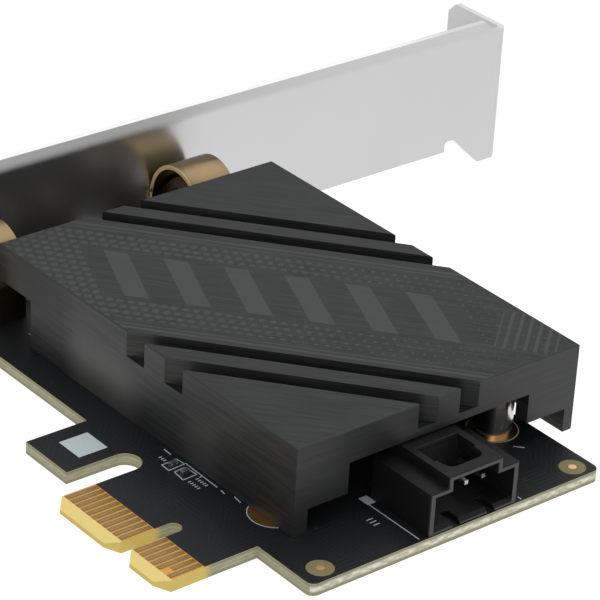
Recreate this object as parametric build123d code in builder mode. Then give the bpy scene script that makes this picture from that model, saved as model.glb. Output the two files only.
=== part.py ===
from build123d import *
import os
from math import pi, radians, tan

# A PCI Express x1 wireless card with its full-height bracket, in millimetres.
# +X runs along the card away from the bracket, +Y from the finger tips to the top edge,
# +Z out of the component side. The origin is the key notch centre, at the finger tips,
# on the component surface.

os.makedirs("parts", exist_ok=True)

# Card length, from the plate of the bracket to the rear edge of the board
card_long = 77.05

# Board
board_thick = 1.57
board_right = 17.55
board_low = 13.07
board_high = 55.85
board_corner = 1.0
board_gap = 0.35
tongue_end = 4.56
tongue_left = -24.03
tongue_right = -15.94
strap_low = 9.0
strap_centre = 11.4

# Card edge: contact 1 is 11.5 from the key notch centre
edge_left = -12.15
edge_right = 8.15
key_radius = 0.95
key_end = 8.65
contact_pitch = 1.0
first_contact = -11.5
near_contacts = 11
far_contacts = 7
far_first = 1.5
contact_wide = 0.7
contact_start = 1.45
contact_end = 5.75
short_cut = 1.2
bevel_long = 1.45
bevel_deep = 0.5
copper = 0.05

# Heatsink block
sink_from_plate = 11.0
sink_from_edge = 8.48
sink_low = 17.24
sink_high = 59.15
sink_top = 11.43
sink_ceiling = 7.1
side_wall = 1.95
back_wall = 1.4
end_wall = 2.0
front_step_long = 7.61
front_step_z = 3.1
rear_step_long = 7.45
rear_step_z = 3.2
corner_cut_long = 6.8
corner_cut_z = 6.5
groove_wide = 2.2
groove_deep = 3.3
groove_angle = 40.1
groove_reach = 200
groove_front_x = [-13.3, -20.6]
groove_rear_x = [-15.15, -22.15]
sink_edge = 0.15

# Fixing points of the heatsink
fix_right = 3.85
fix_left_in = 9.5
fix_low_right = 18.86
fix_low_left = 22.4
fix_high = 51.4
boss_radius = 2.0
post_radius = 2.35
pad_radius = 3.0
screw_radius = 0.95
screw_gap = 0.05
screw_bite = 2.6
screw_spare = 0.3
hole_gap = 0.3
head_radius = 1.9
head_tall = 1.2
head_edge = 0.3
recess_radius = 0.85
recess_deep = 0.6

# Radio module under the heatsink
module_in = 10.5
module_long = 30.0
module_y = 37.2
module_wide = 22.0
module_low = 1.5
module_thick = 0.8
seat_radius = 1.75
spacer_radius = 2.6
module_head_tall = 0.7
module_recess = 0.4
can_long = 17.5
can_wide = 18.0
can_tall = 1.4
can_wall = 0.2
can_corner = 0.8
gum_tall = 1.2
gum_wide = 15.0
socket_lap = 4.0
socket_long = 7.4
socket_wide = 24.0
socket_tall = 3.2
socket_mouth = 4.2
socket_gap = 0.1
socket_bevel = 0.5
foot_count = 36
foot_pitch = 0.5
foot_wide = 0.22
foot_long = 1.0
foot_tall = 0.15

# Bracket
sheet = 0.86
plate_wide = 18.42
seat_y = 109.8
bracket_tall = 120.02
tab_long = 11.43
tab_wide = 19.93
tab_drop = 3.17
tab_chamfer = 1.4
bend_radius = 0.5
slot_radius = 2.21
slot_in = 6.35
slot_z = -0.6
toe_wide = 10.19
toe_long = 11.2
toe_taper = 4.0
toe_nose = 1.5
toe_shoulder = 2.0
relief_in = 10.2
relief_wide = 1.6
relief_top = -0.9
relief_round = 0.5
flare_in = 3.63
ear_in = 4.2
ear_slope = 1.7
lug_y = [26.2, 43.0]
lug_wide = 8.0
lug_long = 9.0
lug_relief = 1.6
lug_hole_in = 5.3
lug_inner_bend = 0.3
lug_screw_radius = 1.45
lug_head_radius = 2.7
lug_head_tall = 1.7
lug_head_edge = 0.4
lug_recess_radius = 1.2
lug_recess_deep = 0.9
lug_screw_out = 0.5
lug_pad_radius = 3.3

# Antenna jacks through the bracket, each carried by an arched frame on the board
jack_y = [51.2, 18.2]
jack_z = 5.0
thread_radius = 3.175
thread_long = 11.4
thread_flat = 2.75
thread_tip = 0.5
pitch_radius = 3.02
plate_hole_gap = 0.12
bore_radius = 2.3
bore_deep = 7.6
neck_radius = 2.2
neck_long = 1.5
neck_bore = 1.6
slip_gap = 0.02
pin_radius = 0.64
pin_short = 1.6
pin_tail_in = 4.0
pin_tail_out = 0.6
nut_across = 8.0
nut_tall = 2.0
nut_taper = 8
nut_round = 0.25
washer_radius = 4.6
washer_tall = 0.6
frame_wide = 6.4
frame_wall = 0.6
frame_tall = 11.0
frame_gap = 0.1

# Coax jumpers between the module and the board
coax_radius = 0.57
plug_in = 2.8
plug_offset = 8.3
plug_base = 0.3
plug_radius = 1.3
plug_tall = 1.0
plug_wall = 0.35
stub_radius = 0.8
stub_long = 1.6
stub_bite = 1.2
ring_radius = 0.9
ring_wall = 0.2
board_plug_in = 2.2
board_plug_offset = 2.2
jumper_lift = 4.1
jumper_slant = 0.6
arc_share = 0.95

# Cable header at the rear edge
header_gap = 0.15
header_long = 10.0
header_mid = 36.27
header_wide = 13.1
header_tall = 5.4
crown_wide = 8.0
crown_tall = 6.85
header_wall = 0.7
header_roof = 0.6
header_floor = 0.75
header_bulk = 3.0
lead_in = 0.45
window_from = 1.6
window_neck_long = 2.1
window_long = 3.2
window_wide = 6.1
window_neck = 5.3
window_round = 1.2
lip_gap = 1.1
lip_gap_deep = 2.4
lip_gap_at = [-2.4, 2.75]
pin_pitch = 2.54
pin_count = 4
pin_side = 0.5
pin_set_back = 2.8
pin_z = 3.0
pin_foot_in = 11.8
pin_out = 1.43
pin_drill = 0.5

# Small parts on the board
chip_points = [(-10.5, 15.5), (-8.35, 15.6)]
chip_long = 1.0
chip_wide = 0.55
chip_tall = 0.5
chip_cap = 0.25

# Places that follow from the sizes
board_under = -board_thick
plate_x = board_right - card_long
plate_back = plate_x - sheet
plate_low = board_under - sheet
plate_high = plate_low + plate_wide
board_left = plate_x + board_gap
sink_left = plate_x + sink_from_plate
sink_right = board_right - sink_from_edge
fix_left = sink_left + fix_left_in
module_left = sink_left + module_in
socket_left = module_left + module_long - socket_lap
fix_front = [(fix_left, fix_low_left), (fix_right, fix_low_right)]
fix_rear = [(fix_left, fix_high), (fix_right, fix_high)]
fix_points = fix_front + fix_rear
lug_points = [(plate_x + lug_hole_in, y) for y in lug_y]
header_front = board_right - header_gap
header_back = header_front - header_long
header_y = [header_mid + (i - (pin_count - 1) / 2) * pin_pitch for i in range(pin_count)]
pin_foot = header_front - pin_foot_in
jack_tails = [(plate_x + pin_tail_in, y) for y in jack_y]

# Printed circuit board: outline with the tongue by the slot and the keyed card edge
strap_mid = (tongue_right + edge_left) / 2
strap_half = (edge_left - tongue_right) / 2
with BuildPart() as pcb:
    with BuildSketch(Plane.XY.offset(board_under)):
        with BuildLine():
            Polyline(
                (board_left, board_low),
                (tongue_left, board_low),
                (tongue_left, tongue_end),
                (tongue_right, tongue_end),
                (tongue_right, strap_low),
                (edge_left, strap_low),
                (edge_left, 0),
                (edge_right, 0),
                (edge_right, board_low),
                (board_right, board_low),
                (board_right, board_high),
                (board_left, board_high),
                close=True,
            )
        make_face()
        with Locations((0, (key_end - key_radius) / 2)):
            Rectangle(2 * key_radius, key_end - key_radius, mode=Mode.SUBTRACT)
        with Locations((0, key_end - key_radius)):
            Circle(key_radius, mode=Mode.SUBTRACT)
        with Locations((strap_mid, (strap_low + strap_centre) / 2)):
            Rectangle(2 * strap_half, strap_centre - strap_low, mode=Mode.SUBTRACT)
        with Locations((strap_mid, strap_centre)):
            Circle(strap_half, mode=Mode.SUBTRACT)
        with Locations(*fix_points):
            Circle(screw_radius + hole_gap, mode=Mode.SUBTRACT)
        with Locations(*lug_points):
            Circle(lug_screw_radius + hole_gap, mode=Mode.SUBTRACT)
        with Locations(*[(pin_foot, y) for y in header_y]):
            Circle(pin_drill, mode=Mode.SUBTRACT)
        with Locations(*jack_tails):
            Circle(pin_radius + hole_gap, mode=Mode.SUBTRACT)
    extrude(amount=board_thick)
    fillet(pcb.edges().filter_by(Axis.Z).sort_by(Axis.X)[-2:], board_corner)
    with BuildSketch(Plane.YZ.offset(edge_left)):
        with BuildLine():
            Polyline((0, 0), (bevel_long, 0), (0, -bevel_deep), close=True)
        make_face()
        with BuildLine():
            Polyline((0, board_under), (bevel_long, board_under), (0, board_under + bevel_deep), close=True)
        make_face()
    extrude(amount=edge_right - edge_left, mode=Mode.SUBTRACT)
pcb.part.label = "pcb"
export_step(pcb.part, "parts/pcb.step")

# Gold contacts of the card edge, one node on each side of the board
near_x = [first_contact + contact_pitch * i for i in range(near_contacts)]
far_x = [far_first + contact_pitch * i for i in range(far_contacts)]
contact_x = near_x + far_x
contact_sides = {"contacts_top": (0, far_x[-2]), "contacts_under": (board_under - copper, near_x[0])}
for name, (height, short_x) in contact_sides.items():
    with BuildPart() as contacts:
        with BuildSketch(Plane.XY.offset(height)):
            for x in contact_x:
                start = contact_start + (short_cut if x == short_x else 0)
                with Locations((x, (start + contact_end) / 2)):
                    Rectangle(contact_wide, contact_end - start)
        extrude(amount=copper)
    contacts.part.label = name
    export_step(contacts.part, "parts/" + name + ".step")

# Bare copper rings round the screw holes
with BuildPart() as screw_pads:
    with BuildSketch():
        with Locations(*fix_points):
            Circle(pad_radius)
        with Locations(*lug_points):
            Circle(lug_pad_radius)
        with Locations(*fix_points):
            Circle(screw_radius + hole_gap, mode=Mode.SUBTRACT)
        with Locations(*lug_points):
            Circle(lug_screw_radius + hole_gap, mode=Mode.SUBTRACT)
    extrude(amount=copper)
screw_pads.part.label = "screw_pads"
export_step(screw_pads.part, "parts/screw_pads.step")

# Heatsink: a machined block, open below, with four slanted grooves across its top
sink_long = sink_right - sink_left
sink_wide = sink_high - sink_low
sink_mid = ((sink_left + sink_right) / 2, (sink_low + sink_high) / 2)
inner_low = sink_low + side_wall
inner_high = sink_high - back_wall
module_top = module_low + module_thick
gum_low = module_top + can_tall
pedestal_low = gum_low + gum_tall
can_mid = socket_left - can_long / 2
with BuildPart() as heatsink:
    with BuildSketch(Plane.XY.offset(copper)):
        with Locations(sink_mid):
            Rectangle(sink_long, sink_wide)
    extrude(amount=sink_top - copper)
    chamfer(heatsink.faces().sort_by(Axis.Z)[-1].edges(), sink_edge)
    # cavity, open at the bracket end
    with BuildSketch(Plane.XY.offset(copper)):
        with Locations(((sink_left + sink_right - end_wall) / 2, (inner_low + inner_high) / 2)):
            Rectangle(sink_long - end_wall, inner_high - inner_low)
    extrude(amount=sink_ceiling - copper, mode=Mode.SUBTRACT)
    # stepped lower edge of the rear wall
    with BuildSketch(Plane.YZ.offset(sink_right - end_wall)):
        with BuildLine():
            Polyline(
                (inner_low, copper),
                (inner_low, front_step_z),
                (sink_low + front_step_long, front_step_z),
                (sink_low + front_step_long, sink_ceiling),
                (sink_high - rear_step_long, sink_ceiling),
                (sink_high - rear_step_long, rear_step_z),
                (inner_high, rear_step_z),
                (inner_high, copper),
                close=True,
            )
        make_face()
    extrude(amount=end_wall, mode=Mode.SUBTRACT)
    # cut-out in the long wall at the bracket end
    with BuildSketch(Plane.XZ.offset(-sink_low)):
        with Locations((sink_left + corner_cut_long / 2, (copper + corner_cut_z) / 2)):
            Rectangle(corner_cut_long, corner_cut_z - copper)
    extrude(amount=-side_wall, mode=Mode.SUBTRACT)
    # grooves
    with BuildSketch(Plane.XY.offset(sink_top)):
        for x in groove_front_x:
            with Locations(Location((x, sink_low), groove_angle)):
                Rectangle(groove_reach, groove_wide)
        for x in groove_rear_x:
            with Locations(Location((x, sink_high), groove_angle)):
                Rectangle(groove_reach, groove_wide)
    extrude(amount=-groove_deep, mode=Mode.SUBTRACT)
    # pedestal over the radio module
    with BuildSketch(Plane.XY.offset(pedestal_low)):
        with Locations((can_mid, module_y)):
            Rectangle(gum_wide, gum_wide)
    extrude(amount=sink_ceiling - pedestal_low)
    # bosses at the two front fixing points, joined to the wall and flush with it
    with BuildSketch(Plane.XY.offset(copper)):
        with Locations(*fix_front):
            Circle(boss_radius)
        for x, y in fix_front:
            with Locations((x, (sink_low + y) / 2)):
                Rectangle(2 * boss_radius, y - sink_low)
        with Locations(sink_mid):
            Rectangle(sink_long, sink_wide, mode=Mode.INTERSECT)
    extrude(amount=sink_ceiling - copper)
    # tapped holes
    with BuildSketch(Plane.XY.offset(copper)):
        with Locations(*fix_front):
            Circle(screw_radius + screw_gap)
    extrude(amount=screw_bite, mode=Mode.SUBTRACT)
    with BuildSketch(Plane.XY.offset(sink_ceiling)):
        with Locations(*fix_rear):
            Circle(screw_radius + screw_gap)
    extrude(amount=screw_bite, mode=Mode.SUBTRACT)
heatsink.part.label = "heatsink"
export_step(heatsink.part, "parts/heatsink.step")

# Plated posts that carry the heatsink along the top edge of the card
with BuildPart() as posts:
    with BuildSketch(Plane.XY.offset(copper)):
        with Locations(*fix_rear):
            Circle(post_radius)
            Circle(screw_radius + hole_gap, mode=Mode.SUBTRACT)
    extrude(amount=sink_ceiling - copper)
posts.part.label = "posts"
export_step(posts.part, "parts/posts.step")

# Pan-head screws from the solder side: short ones in the bosses, long ones through the posts
screw_sets = {"screws_front": (fix_front, copper), "screws_rear": (fix_rear, sink_ceiling)}
for name, (points, bite_from) in screw_sets.items():
    with BuildPart() as screws:
        with BuildSketch(Plane.XY.offset(board_under - head_tall)):
            with Locations(*points):
                Circle(head_radius)
        extrude(amount=head_tall)
        chamfer(screws.faces().filter_by(Plane.XY).group_by(Axis.Z)[0].edges(), head_edge)
        with BuildSketch(Plane.XY.offset(board_under)):
            with Locations(*points):
                Circle(screw_radius)
        extrude(amount=bite_from + screw_bite - screw_spare - board_under)
        with BuildSketch(Plane.XY.offset(board_under - head_tall)):
            with Locations(*points):
                RegularPolygon(recess_radius, 4)
        extrude(amount=recess_deep, mode=Mode.SUBTRACT)
    screws.part.label = name
    export_step(screws.part, "parts/" + name + ".step")

# Radio module board with its half-round seat
seat = (module_left, module_y)
with BuildPart() as module_board:
    with BuildSketch(Plane.XY.offset(module_low)):
        with Locations((module_left + module_long / 2, module_y)):
            Rectangle(module_long, module_wide)
        with Locations(seat):
            Circle(seat_radius, mode=Mode.SUBTRACT)
    extrude(amount=module_thick)
module_board.part.label = "module_board"
export_step(module_board.part, "parts/module_board.step")

# Shield can on the module, a drawn box open below
with BuildPart() as module_shield:
    with BuildSketch(Plane.XY.offset(module_top)):
        with Locations((can_mid, module_y)):
            RectangleRounded(can_long, can_wide, can_corner)
    extrude(amount=can_tall)
    with BuildSketch(Plane.XY.offset(module_top)):
        with Locations((can_mid, module_y)):
            RectangleRounded(can_long - 2 * can_wall, can_wide - 2 * can_wall, can_corner - can_wall)
    extrude(amount=can_tall - can_wall, mode=Mode.SUBTRACT)
module_shield.part.label = "module_shield"
export_step(module_shield.part, "parts/module_shield.step")

# Heat pad between the can and the pedestal
with BuildPart() as heat_pad:
    with BuildSketch(Plane.XY.offset(gum_low)):
        with Locations((can_mid, module_y)):
            Rectangle(gum_wide, gum_wide)
    extrude(amount=gum_tall)
heat_pad.part.label = "heat_pad"
export_step(heat_pad.part, "parts/heat_pad.step")

# Module socket with the mouth that takes the module's edge
socket_right = socket_left + socket_long
with BuildPart() as module_socket:
    with BuildSketch():
        with Locations((socket_left + socket_long / 2, module_y)):
            Rectangle(socket_long, socket_wide)
    extrude(amount=socket_tall)
    chamfer(module_socket.faces().sort_by(Axis.Z)[-1].edges().sort_by(Axis.X)[-1], socket_bevel)
    with BuildSketch(Plane.YZ.offset(socket_left)):
        with Locations((module_y, module_low + module_thick / 2)):
            Rectangle(module_wide + 2 * socket_gap, module_thick + 2 * socket_gap)
    extrude(amount=socket_mouth, mode=Mode.SUBTRACT)
module_socket.part.label = "module_socket"
export_step(module_socket.part, "parts/module_socket.step")

# Soldered feet of the socket
with BuildPart() as socket_feet:
    with BuildSketch():
        with Locations((socket_right + foot_long / 2, module_y)):
            with GridLocations(foot_long, foot_pitch, 1, foot_count):
                Rectangle(foot_long, foot_wide)
    extrude(amount=foot_tall)
socket_feet.part.label = "socket_feet"
export_step(socket_feet.part, "parts/socket_feet.step")

# Spacer and screw at the module's seat
with BuildPart() as module_spacer:
    with BuildSketch():
        with Locations(seat):
            Circle(spacer_radius)
    extrude(amount=module_low)
    with BuildSketch(Plane.XY.offset(module_low)):
        with Locations(seat):
            Circle(seat_radius - socket_gap)
    extrude(amount=module_thick)
    with BuildSketch():
        with Locations(seat):
            Circle(screw_radius + screw_gap)
    extrude(amount=module_top, mode=Mode.SUBTRACT)
module_spacer.part.label = "module_spacer"
export_step(module_spacer.part, "parts/module_spacer.step")

with BuildPart() as module_screw:
    with BuildSketch(Plane.XY.offset(module_top)):
        with Locations(seat):
            Circle(spacer_radius)
    extrude(amount=module_head_tall)
    chamfer(module_screw.faces().sort_by(Axis.Z)[-1].edges(), head_edge)
    with BuildSketch(Plane.XY.offset(module_top)):
        with Locations(seat):
            Circle(screw_radius)
    extrude(amount=screw_spare - module_top)
    with BuildSketch(Plane.XY.offset(module_top + module_head_tall)):
        with Locations(seat):
            RegularPolygon(recess_radius, 4)
    extrude(amount=-module_recess, mode=Mode.SUBTRACT)
module_screw.part.label = "module_screw"
export_step(module_screw.part, "parts/module_screw.step")

# Bracket sheet: the flat plate with its toe, relief and flare
toe_mid = (plate_low + plate_high) / 2
toe_low = toe_mid - toe_wide / 2
toe_high = toe_mid + toe_wide / 2
toe_end = seat_y - bracket_tall
toe_root = toe_end + toe_long
tab_low = plate_low - tab_drop
tab_high = tab_low + tab_wide
tab_root = seat_y - sheet - bend_radius
relief_y = seat_y - relief_in
with BuildPart() as bracket:
    with BuildSketch(Plane.YZ.offset(plate_back)):
        with BuildLine():
            Polyline(
                (toe_end, toe_low + toe_nose),
                (toe_end, toe_high - toe_nose),
                (toe_end + toe_taper, toe_high),
                (toe_root, toe_high),
                (toe_root + toe_shoulder, plate_high),
                (seat_y - ear_in, plate_high),
                (seat_y - ear_in + ear_slope, tab_high),
                (tab_root, tab_high),
                (tab_root, tab_low),
                (seat_y - flare_in, tab_low),
                (relief_y + relief_wide, relief_top),
                (relief_y, relief_top),
                (relief_y, plate_low),
                (toe_root + toe_shoulder, plate_low),
                (toe_root, toe_low),
                (toe_end + toe_taper, toe_low),
                close=True,
            )
        make_face()
    extrude(amount=sheet)
    relief_edges = bracket.edges().filter_by(Axis.X)
    relief_edges = relief_edges.sort_by_distance((plate_x, relief_y + relief_wide / 2, relief_top))[:2]
    fillet(relief_edges, relief_round)
    # holes for the jacks, each with a flat
    with BuildSketch(Plane.YZ.offset(plate_back)):
        with Locations(*[(y, jack_z) for y in jack_y]):
            Circle(thread_radius + plate_hole_gap)
        with Locations(*[(y, jack_z + thread_radius + plate_hole_gap) for y in jack_y]):
            Rectangle(2 * thread_radius, 2 * (thread_radius - thread_flat), mode=Mode.SUBTRACT)
    extrude(amount=sheet, mode=Mode.SUBTRACT)
    # screw tab, bent away from the card
    with BuildSketch(Plane.XY.offset(tab_low)):
        with BuildLine():
            Polyline(
                (plate_x, tab_root),
                (plate_x, seat_y),
                (plate_x - tab_long, seat_y),
                (plate_x - tab_long, seat_y - sheet),
                (plate_back, seat_y - sheet),
                (plate_back, tab_root),
                close=True,
            )
        make_face()
    extrude(amount=tab_wide)
    upright = bracket.edges().filter_by(Axis.Z)
    outer_corner = upright.sort_by_distance((plate_x, seat_y, (tab_low + tab_high) / 2))[:1]
    fillet(outer_corner, sheet + bend_radius - socket_gap)
    upright = bracket.edges().filter_by(Axis.Z)
    inner_corner = upright.sort_by_distance((plate_back, seat_y - sheet, (tab_low + tab_high) / 2))[:1]
    fillet(inner_corner, bend_radius - socket_gap)
    chamfer(bracket.edges().filter_by(Axis.Y).group_by(Axis.X)[0], tab_chamfer)
    with BuildSketch(Plane.XZ.offset(-seat_y)):
        with Locations((plate_x - slot_in, slot_z)):
            Circle(slot_radius)
        with Locations((plate_x - slot_in, (slot_z + tab_low) / 2)):
            Rectangle(2 * slot_radius, slot_z - tab_low)
    extrude(amount=sheet, mode=Mode.SUBTRACT)
    # lugs, bent from the lower edge and running under the board
    for y in lug_y:
        with BuildSketch(Plane.XZ.offset(-y - lug_wide / 2)):
            with Locations((plate_x - sheet / 2, plate_low)):
                Rectangle(sheet, 2 * lug_relief)
        extrude(amount=lug_wide, mode=Mode.SUBTRACT)
        with BuildSketch(Plane.XZ.offset(-y - lug_wide / 2)) as lug:
            with BuildLine():
                Polyline(
                    (plate_back, plate_low + lug_relief),
                    (plate_x, plate_low + lug_relief),
                    (plate_x, board_under),
                    (plate_x + lug_long, board_under),
                    (plate_x + lug_long, plate_low),
                    (plate_back, plate_low),
                    close=True,
                )
            make_face()
            fillet(lug.vertices().sort_by_distance((plate_back, plate_low))[0], sheet + lug_inner_bend)
            fillet(lug.vertices().sort_by_distance((plate_x, board_under))[0], lug_inner_bend)
        extrude(amount=lug_wide)
    with BuildSketch(Plane.XY.offset(board_under)):
        with Locations(*lug_points):
            Circle(lug_screw_radius + screw_gap)
    extrude(amount=-sheet, mode=Mode.SUBTRACT)
bracket.part.label = "bracket"
export_step(bracket.part, "parts/bracket.step")

# Screws that hold the board down on the lugs
with BuildPart() as bracket_screws:
    with BuildSketch(Plane.XY.offset(copper)):
        with Locations(*lug_points):
            Circle(lug_head_radius)
    extrude(amount=lug_head_tall)
    chamfer(bracket_screws.faces().filter_by(Plane.XY).group_by(Axis.Z)[-1].edges(), lug_head_edge)
    with BuildSketch(Plane.XY.offset(copper)):
        with Locations(*lug_points):
            Circle(lug_screw_radius)
    extrude(amount=plate_low - lug_screw_out)
    with BuildSketch(Plane.XY.offset(copper + lug_head_tall)):
        with Locations(*lug_points):
            RegularPolygon(lug_recess_radius, 4)
    extrude(amount=-lug_recess_deep, mode=Mode.SUBTRACT)
bracket_screws.part.label = "bracket_screws"
export_step(bracket_screws.part, "parts/bracket_screws.step")

# Antenna jacks, turned bodies on the X axis; under the nut both threads meet at the pitch circle
jack_points = [(y, jack_z) for y in jack_y]
jack_tip = plate_x - thread_long
bore_floor = jack_tip + bore_deep
neck_end = plate_x + neck_long
nut_at = plate_back - washer_tall
nut_end = nut_at - nut_tall
with BuildPart() as jack_bodies:
    for y, z in jack_points:
        with BuildSketch(Plane.XZ.offset(-y)):
            with BuildLine():
                Polyline(
                    (neck_end, z + neck_bore),
                    (neck_end, z + neck_radius),
                    (plate_x, z + neck_radius),
                    (plate_x, z + thread_radius),
                    (nut_at, z + thread_radius),
                    (nut_at, z + pitch_radius),
                    (nut_end - frame_gap, z + pitch_radius),
                    (nut_end - frame_gap, z + thread_radius),
                    (jack_tip + thread_tip, z + thread_radius),
                    (jack_tip, z + thread_radius - thread_tip),
                    (jack_tip, z + bore_radius),
                    (bore_floor, z + bore_radius),
                    (bore_floor, z + neck_bore),
                    close=True,
                )
            make_face()
        revolve(axis=Axis((0, y, z), (1, 0, 0)))
        # flat along the thread
        with BuildSketch(Plane.YZ.offset(jack_tip)):
            with Locations((y, z + thread_radius)):
                Rectangle(2 * thread_radius, 2 * (thread_radius - thread_flat))
        extrude(amount=thread_long, mode=Mode.SUBTRACT)
jack_bodies.part.label = "jack_bodies"
export_step(jack_bodies.part, "parts/jack_bodies.step")

# White insulators in the neck of each jack
with BuildPart() as jack_insulators:
    with BuildSketch(Plane.YZ.offset(bore_floor)):
        with Locations(*jack_points):
            Circle(neck_bore - slip_gap)
            Circle(pin_radius + slip_gap, mode=Mode.SUBTRACT)
    extrude(amount=neck_end - bore_floor)
jack_insulators.part.label = "jack_insulators"
export_step(jack_insulators.part, "parts/jack_insulators.step")

# Centre pins, bent down into the board behind the neck
pin_from = jack_tip + pin_short
pin_tail = plate_x + pin_tail_in
with BuildPart() as jack_pins:
    with BuildSketch(Plane.YZ.offset(pin_from)):
        with Locations(*jack_points):
            Circle(pin_radius)
    extrude(amount=pin_tail - pin_from)
    with BuildSketch(Plane.XY.offset(jack_z)):
        with Locations(*jack_tails):
            Circle(pin_radius)
    extrude(amount=board_under - pin_tail_out - jack_z)
    for y, z in jack_points:
        with Locations((pin_tail, y, z)):
            Sphere(pin_radius)
jack_pins.part.label = "jack_pins"
export_step(jack_pins.part, "parts/jack_pins.step")

# Arched frames that stand on the board and hold the necks of the jacks
frame_right = sink_left - frame_gap
frame_mid = (plate_x + frame_right) / 2
frame_half = (frame_right - plate_x) / 2
with BuildPart() as jack_frames:
    for y, z in jack_points:
        with BuildSketch(Plane.XZ.offset(-y - frame_wide / 2)):
            with Locations((frame_mid, z)):
                Ellipse(frame_half, frame_tall - z)
            with Locations((frame_mid, z / 2)):
                Rectangle(2 * frame_half, z)
            with Locations((frame_mid, z)):
                Ellipse(frame_half - frame_wall, frame_tall - frame_wall - z, mode=Mode.SUBTRACT)
            with Locations((frame_mid, z / 2)):
                Rectangle(2 * (frame_half - frame_wall), z, mode=Mode.SUBTRACT)
            with Locations((frame_mid, frame_tall / 2)):
                Rectangle(2 * frame_half, frame_tall, mode=Mode.INTERSECT)
        extrude(amount=frame_wide)
    with BuildSketch(Plane.YZ.offset(plate_x)):
        with Locations(*jack_points):
            Circle(neck_radius + slip_gap)
    extrude(amount=neck_long, mode=Mode.SUBTRACT)
jack_frames.part.label = "jack_frames"
export_step(jack_frames.part, "parts/jack_frames.step")

# Washer and hex nut of each jack on the outer face of the plate
with BuildPart() as jack_washers:
    with BuildSketch(Plane.YZ.offset(plate_back)):
        with Locations(*jack_points):
            Circle(washer_radius)
            Circle(thread_radius + screw_gap, mode=Mode.SUBTRACT)
    extrude(amount=-washer_tall)
jack_washers.part.label = "jack_washers"
export_step(jack_washers.part, "parts/jack_washers.step")

with BuildPart() as jack_nuts:
    with BuildSketch(Plane.YZ.offset(nut_at)):
        with Locations(*jack_points):
            RegularPolygon(nut_across / 2, 6, major_radius=False)
    extrude(amount=-nut_tall)
    with BuildSketch(Plane.YZ.offset(nut_at)):
        with Locations(*jack_points):
            Circle(nut_across / 2 + nut_round)
    extrude(amount=-nut_tall, taper=-nut_taper, mode=Mode.INTERSECT)
    with BuildSketch(Plane.YZ.offset(nut_at)):
        with Locations(*jack_points):
            Circle(pitch_radius + screw_gap)
    extrude(amount=-nut_tall, mode=Mode.SUBTRACT)
jack_nuts.part.label = "jack_nuts"
export_step(jack_nuts.part, "parts/jack_nuts.step")

# Coax plugs: a pair on the module and a pair on the board, their stubs towards each other
plug_x = module_left + plug_in
board_plug_x = sink_left + board_plug_in
plug_reach = plug_radius + stub_long
stub_lift = plug_base + stub_radius
plug_pairs = {
    "module": (module_top, [(plug_x, module_y + side * plug_offset) for side in (1, -1)]),
    "board": (0, [(board_plug_x, module_y + side * board_plug_offset) for side in (1, -1)]),
}
for where, (height, points) in plug_pairs.items():
    with BuildPart() as receptacles:
        with BuildSketch(Plane.XY.offset(height)):
            with Locations(*points):
                Rectangle(2 * plug_radius, 2 * plug_radius)
        extrude(amount=plug_base)
        with BuildSketch(Plane.XY.offset(height + plug_base)):
            with Locations(*points):
                Circle(ring_radius)
                Circle(ring_radius - ring_wall, mode=Mode.SUBTRACT)
        extrude(amount=plug_tall - plug_wall)
    receptacles.part.label = where + "_receptacles"
    export_step(receptacles.part, "parts/" + where + "_receptacles.step")

    with BuildPart() as plugs:
        with BuildSketch(Plane.XY.offset(height + plug_base)):
            with Locations(*points):
                Circle(plug_radius)
        extrude(amount=plug_tall)
        for side, (x, y) in zip((1, -1), points):
            away = (-1, 0, 0) if where == "module" else (0, side, 0)
            with BuildSketch(Plane((x, y, height + stub_lift), z_dir=away)):
                Circle(stub_radius)
            extrude(amount=plug_reach)
        with BuildSketch(Plane.XY.offset(height + plug_base)):
            with Locations(*points):
                Circle(ring_radius + screw_gap)
        extrude(amount=plug_tall - plug_wall + screw_gap, mode=Mode.SUBTRACT)
        for side, (x, y) in zip((1, -1), points):
            away = (-1, 0, 0) if where == "module" else (0, side, 0)
            end = Vector(x, y, height + stub_lift) + Vector(*away) * (plug_reach - stub_bite)
            with BuildSketch(Plane(end, z_dir=away)):
                Circle(coax_radius)
            extrude(amount=stub_bite, mode=Mode.SUBTRACT)
    plugs.part.label = where + "_plugs"
    export_step(plugs.part, "parts/" + where + "_plugs.step")

# Coax jumpers: straight runs joined by tangent arcs, whole inside the card
start_x = plug_x - plug_reach + stub_bite
high_z = module_top + stub_lift
low_z = stub_lift
for name, side in {"jumper_upper": 1, "jumper_lower": -1}.items():
    plug_y = module_y + side * plug_offset
    end_y = module_y + side * (board_plug_offset + plug_reach - stub_bite)
    spots = [
        Vector(start_x, plug_y, high_z),
        Vector(start_x - jumper_lift, plug_y, high_z),
        Vector(board_plug_x, plug_y - side * jumper_slant, low_z),
        Vector(board_plug_x, end_y, low_z),
    ]
    runs = [b - a for a, b in zip(spots, spots[1:])]
    # length of each run that an arc may use: the ends inside the stubs stay straight
    free = [runs[0].length - stub_bite, runs[1].length / 2, runs[2].length - stub_bite]
    radii = []
    for i in range(len(runs) - 1):
        half_turn = radians(runs[i].get_angle(runs[i + 1]) / 2)
        radii.append(arc_share * min(free[i], free[i + 1]) / tan(half_turn))
    print(name, "radii", [round(r, 1) for r in radii])
    with BuildPart() as jumper:
        with BuildLine() as path:
            FilletPolyline(*spots, radius=radii)
        with BuildSketch(Plane(spots[0], z_dir=runs[0])):
            Circle(coax_radius)
        sweep(path=path.line)
    straight_volume = pi * coax_radius**2 * path.wires()[0].length
    print(name, "volume share", round(jumper.part.volume / straight_volume, 4))
    jumper.part.label = name
    export_step(jumper.part, "parts/" + name + ".step")

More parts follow.
